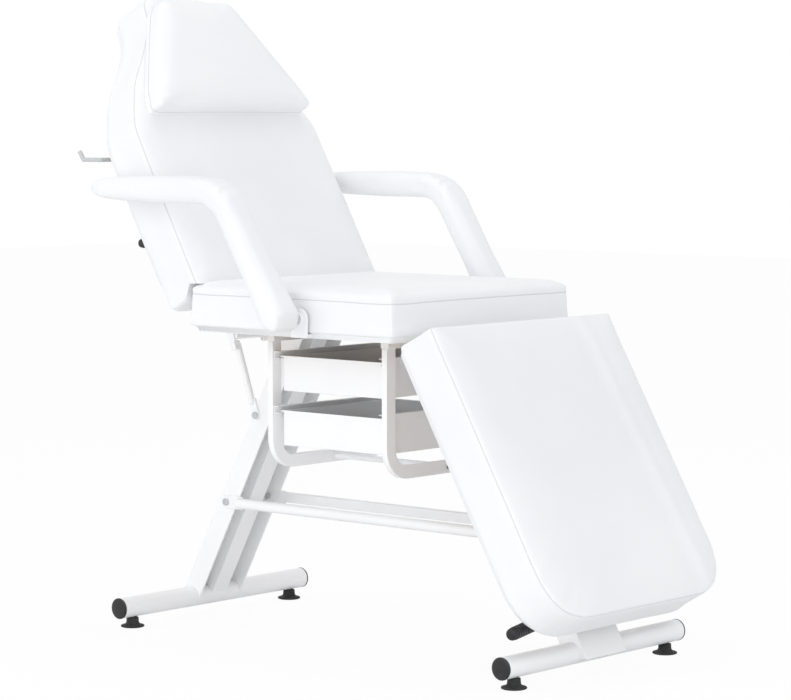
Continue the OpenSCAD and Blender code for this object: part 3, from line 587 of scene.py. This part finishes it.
# a cushion on its board: outline in the board's plane, thickness along local X
def cushion(name, outline, back, front, edge, crown, reach, cap, seam_depth, voxel=0.007):
    bm = bmesh.new()
    board_side = bm.faces.new([bm.verts.new((back, y, z)) for y, z in outline])
    grown = bmesh.ops.extrude_face_region(bm, geom=[board_side])
    top = {v for v in grown["geom"] if isinstance(v, bmesh.types.BMVert)}
    bmesh.ops.translate(bm, vec=(front - back, 0, 0), verts=list(top))
    bmesh.ops.recalc_face_normals(bm, faces=bm.faces)
    rim = [e for e in bm.edges if e.verts[0] in top and e.verts[1] in top]
    bmesh.ops.bevel(bm, geom=rim, offset=edge, offset_type="OFFSET", segments=6, profile=0.5,
                    affect="EDGES", clamp_overlap=True, material=-1)
    foot = [e for e in bm.edges if all(abs(v.co.x - back) < 1e-6 for v in e.verts)]
    bmesh.ops.bevel(bm, geom=foot, offset=0.005, offset_type="OFFSET", segments=3, profile=0.5,
                    affect="EDGES", clamp_overlap=True, material=-1)
    piece = remeshed(name, bm, voxel)
    places = coordinates(piece.data)
    inside = edge_distance(places[:, 1:], outline)
    high = np.clip((places[:, 0] - back) / (front - back), 0, 1)
    fall = np.clip(1 - inside / reach, 0, 1) ** 2
    places[:, 0] -= crown * fall * high ** 2
    settle(piece.data, places)
    depth = places[:, 0] - (front - crown - seam_depth)
    blow_up(piece, places[:, 0] < back + 0.006, 4.0, cap)
    smoothed(piece, 2)
    places = coordinates(piece.data)
    groove = 0.0012 * np.exp(-(depth / 0.005) ** 2) * (inside < 0.016)
    normals = np.array([v.normal for v in piece.data.vertices])
    settle(piece.data, places - groove[:, None] * normals)
    mark_seam(piece, np.where(inside < 0.016, depth, 1.0))
    return piece


# the cover's edge, drawn over the side of the board and stapled flat underneath it
def hem(name, outline, back, place, body, open_end=-9.0):
    low_y, high_y = min(y for y, z in outline), max(y for y, z in outline)
    low_z, high_z = min(z for y, z in outline), max(z for y, z in outline)
    half_y, half_z = (high_y - low_y) / 2, (high_z - low_z) / 2
    centre = Matrix.Translation((0, -(high_y + low_y) / 2, -(high_z + low_z) / 2))
    bm = bmesh.new()
    corners = [bm.verts.new((back + 0.008, y, z)) for y, z in outline]
    edges = [bm.edges.new((corner, corners[i - 1])) for i, corner in enumerate(corners)]
    drawn_in = 0.004
    bmesh.ops.scale(bm, vec=(1, 1 - drawn_in / half_y, 1 - drawn_in / half_z), space=centre, verts=corners)
    for drop, step in ((0.012, 0.0075), (0.0048, 0.002), (0.0, 0.032)):
        grown = bmesh.ops.extrude_edge_only(bm, edges=edges)["geom"]
        corners = [v for v in grown if isinstance(v, bmesh.types.BMVert)]
        fresh = set(corners)
        edges = [e for e in grown if isinstance(e, bmesh.types.BMEdge) and set(e.verts) <= fresh]
        shrink = (1, 1 - step / (half_y - drawn_in), 1 - step / (half_z - drawn_in))
        bmesh.ops.scale(bm, vec=shrink, space=centre, verts=corners)
        bmesh.ops.translate(bm, vec=(-drop, 0, 0), verts=corners)
        drawn_in += step
    cut = [face for face in bm.faces if face.calc_center_median().y < open_end]
    bmesh.ops.delete(bm, geom=cut, context="FACES")
    bmesh.ops.transform(bm, matrix=place, verts=bm.verts)
    bmesh.ops.recalc_face_normals(bm, faces=bm.faces)
    piece = finished(name, bm, 60)
    cloth = piece.modifiers.new("cover thickness", "SOLIDIFY")
    cloth.thickness = 0.0008
    cloth.offset = 0.0
    mark_seam(piece, np.full(len(piece.data.vertices), 1.0))
    put(piece, body, "white_leather", leather)


def upholstered(piece, body, node):
    finer = piece.modifiers.new("finer", "SUBSURF")
    finer.levels = 1
    finer.render_levels = 1
    put(piece, body, "white_leather", leather, node)


# seat cushion: a square block, its cover drawn round the top edge
low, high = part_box("seat_cushion")
half_x, half_y = (high.x - low.x) / 2 + 0.001, (high.y - low.y) / 2 + 0.005
outline = rounded([(-half_x, -half_y), (half_x, -half_y), (half_x, half_y), (-half_x, half_y)], [0.010] * 4)
seat = cushion("seat_padding", outline, back=low.z, front=high.z + 0.003, edge=0.022, crown=0.004,
               reach=0.09, cap=0.006, seam_depth=0.017)
lying = Matrix(((0, 1, 0, (low.x + high.x) / 2), (0, 0, 1, 0), (1, 0, 0, 0), (0, 0, 0, 1)))
seat.data.transform(lying)
upholstered(seat, "frame", "seat_cushion")
hem("seat_cover_hem", outline, low.z, lying, "frame", open_end=0.03 - half_x)


# backrest cushion: wide over the hips and the waist, then drawn in to the head end
def back_outline(bottom):
    half = [(0.275, bottom), (0.275, 0.20), (0.273, 0.395), (0.224, 0.495), (0.157, 0.575), (0.110, 0.64),
            (0.101, 0.706)]
    radii = [0.012, 0.3, 0.12, 0.2, 0.2, 0.1, 0.04]
    return rounded([(-y, z) for y, z in half] + [(y, z) for y, z in reversed(half)], radii + radii[::-1])


backrest = cushion("back_padding", back_outline(0.014), back=-0.034, front=0.067, edge=0.009, crown=0.004,
                   reach=0.05, cap=0.004, seam_depth=0.005)
places = coordinates(backrest.data)
# its underside is cut back over the hinges, and its lower edge is pressed flat on the seat
over_hinge = (np.abs(places[:, 1]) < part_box("back_hinge_plates")[1].y + 0.004) & (places[:, 0] < 0.035)
places[over_hinge, 2] = np.maximum(places[over_hinge, 2], 0.036)
settle(backrest.data, places)
backrest.data.transform(on_back)
places = coordinates(backrest.data)
seat_low, seat_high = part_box("seat_cushion")
over_seat = places[:, 0] > seat_low.x - 0.003
places[over_seat, 2] = np.maximum(places[over_seat, 2], seat_high.z + 0.0015)
settle(backrest.data, places)
upholstered(backrest, "backrest", "back_cushion")
hem("back_cover_hem", back_outline(0.068), -0.034, on_back, "backrest")

# head pillow: a soft half-round wedge stitched to the backrest's face
outline = rounded([(-0.232, 0.410), (-0.220, 0.452), (-0.131, 0.624), (-0.106, 0.669), (0.106, 0.669),
                   (0.131, 0.624), (0.220, 0.452), (0.232, 0.410)],
                  [0.02, 0.06, 0.12, 0.04, 0.04, 0.12, 0.06, 0.02])
pillow = cushion("head_padding", outline, back=0.0635, front=0.117, edge=0.022, crown=0.006, reach=0.08,
                 cap=0.004, seam_depth=0.030, voxel=0.006)
pillow.data.transform(on_back)
upholstered(pillow, "backrest", "head_pillow")

# leg rest cushion: long, square at the seat and widely rounded at the foot end
outline = rounded([(-0.277, -0.001), (0.277, -0.001), (0.277, -0.613), (-0.277, -0.613)],
                  [0.005, 0.005, 0.116, 0.116], steps=12)
rest = cushion("rest_padding", outline, back=0.008, front=0.107, edge=0.009, crown=0.005, reach=0.06,
               cap=0.004, seam_depth=0.005)
places = coordinates(rest.data)
# a long soft fold in the cover, beside its left edge
slack = places[:, 1] - 0.166 + 0.055 * places[:, 2]
fold = 0.0024 * np.exp(-(slack / 0.015) ** 2) - 0.0016 * np.exp(-((slack + 0.036) / 0.020) ** 2)
places[:, 0] += fold * np.clip((places[:, 0] - 0.092) / 0.008, 0, 1)
settle(rest.data, places)
rest.data.transform(on_rest)
upholstered(rest, "leg_rest", "leg_cushion")
hem("rest_cover_hem", outline, 0.008, on_rest, "leg_rest")


# ---- armrests ----
# A bent, foam-padded arm: flat and wide in section, rounded at its rear tip and at the tongue
# below the pivot, with its cover gathered into small folds inside the bend.
def arm_ring(bm, middle, along, width, thick):
    ring = bmesh.ops.create_circle(bm, segments=28, radius=1.0)["verts"]
    across = Vector((0, 1, 0))
    up = along.cross(across).normalized()
    for vert in ring:
        c, s = vert.co.x, vert.co.y
        y = (abs(c) ** 0.55) * (1 if c >= 0 else -1) * width / 2
        z = (abs(s) ** 0.55) * (1 if s >= 0 else -1) * thick / 2
        vert.co = middle + across * y + up * z
    return ring


def arm_pad(name, pivot, low, high):
    thick = 0.047
    lean = radians(31.9)
    rise = Vector((-sin(lean), 0, cos(lean)))
    top = high.z - thick / 2
    bend = pivot + rise * ((top - pivot.z) / rise.z)
    tip = Vector((low.x + 0.006, pivot.y, top))
    foot = pivot - rise * 0.024
    corner = 0.05
    route = [foot.lerp(bend - rise * corner, i / 12) for i in range(13)]
    level = Vector((-1, 0, 0))
    for i in range(1, 8):
        t = i / 8
        route.append((1 - t) ** 2 * (bend - rise * corner) + 2 * t * (1 - t) * bend
                     + t * t * (bend + level * corner))
    route += [(bend + level * corner).lerp(tip, i / 14) for i in range(15)]
    bm = bmesh.new()
    rings = []
    total = sum((b - a).length for a, b in zip(route, route[1:]))
    done = 0.0
    for i, middle in enumerate(route):
        if i:
            done += (middle - route[i - 1]).length
        along = (route[min(i + 1, len(route) - 1)] - route[max(i - 1, 0)]).normalized()
        start = min(done / 0.028 + 0.03, 1.0)
        end = min((total - done) / 0.05 + 0.02, 1.0)
        round_foot = (1 - (1 - start) ** 2) ** 0.5
        round_tip = (1 - (1 - end) ** 2) ** 0.5
        taper = 0.82 + 0.18 * min((total - done) / 0.20, 1.0)
        width = 0.073 * (0.80 + 0.20 * round_foot) * (0.45 + 0.55 * round_tip)
        depth = (0.048 + 0.014 * max(0.0, 1 - done / 0.13)) * round_foot * round_tip * taper
        rings.append(arm_ring(bm, middle, along, width, depth))
    for a, b in zip(rings, rings[1:]):
        loop = [e for ring in (a, b) for v in ring for e in v.link_edges if e.other_vert(v) in ring]
        bmesh.ops.bridge_loops(bm, edges=list(set(loop)))
    bmesh.ops.contextual_create(bm, geom=rings[0])
    bmesh.ops.contextual_create(bm, geom=rings[-1])
    bmesh.ops.recalc_face_normals(bm, faces=bm.faces)
    piece = remeshed(name, bm, 0.0045)
    places = coordinates(piece.data)
    blow_up(piece, np.abs(places[:, 1] - pivot.y) > 9, 3.0, 0.003)
    smoothed(piece, 2)
    places = coordinates(piece.data)
    distance = np.linalg.norm(places - np.array(bend), axis=1)
    folds = 0.0014 * np.exp(-(distance / 0.055) ** 2) * np.sin((places[:, 0] + 0.6 * places[:, 2]) * 520
                                                             + 22 * places[:, 1])
    normals = np.array([v.normal for v in piece.data.vertices])
    settle(piece.data, places + folds[:, None] * normals)
    mark_seam(piece, np.full(len(places), 1.0))
    return piece


for name in ("right_arm", "left_arm"):
    low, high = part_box(name + "_pad")
    piece = arm_pad(name + "_padding", hinge[name + "_fold"], low, high)
    upholstered(piece, name, name + "_pad")
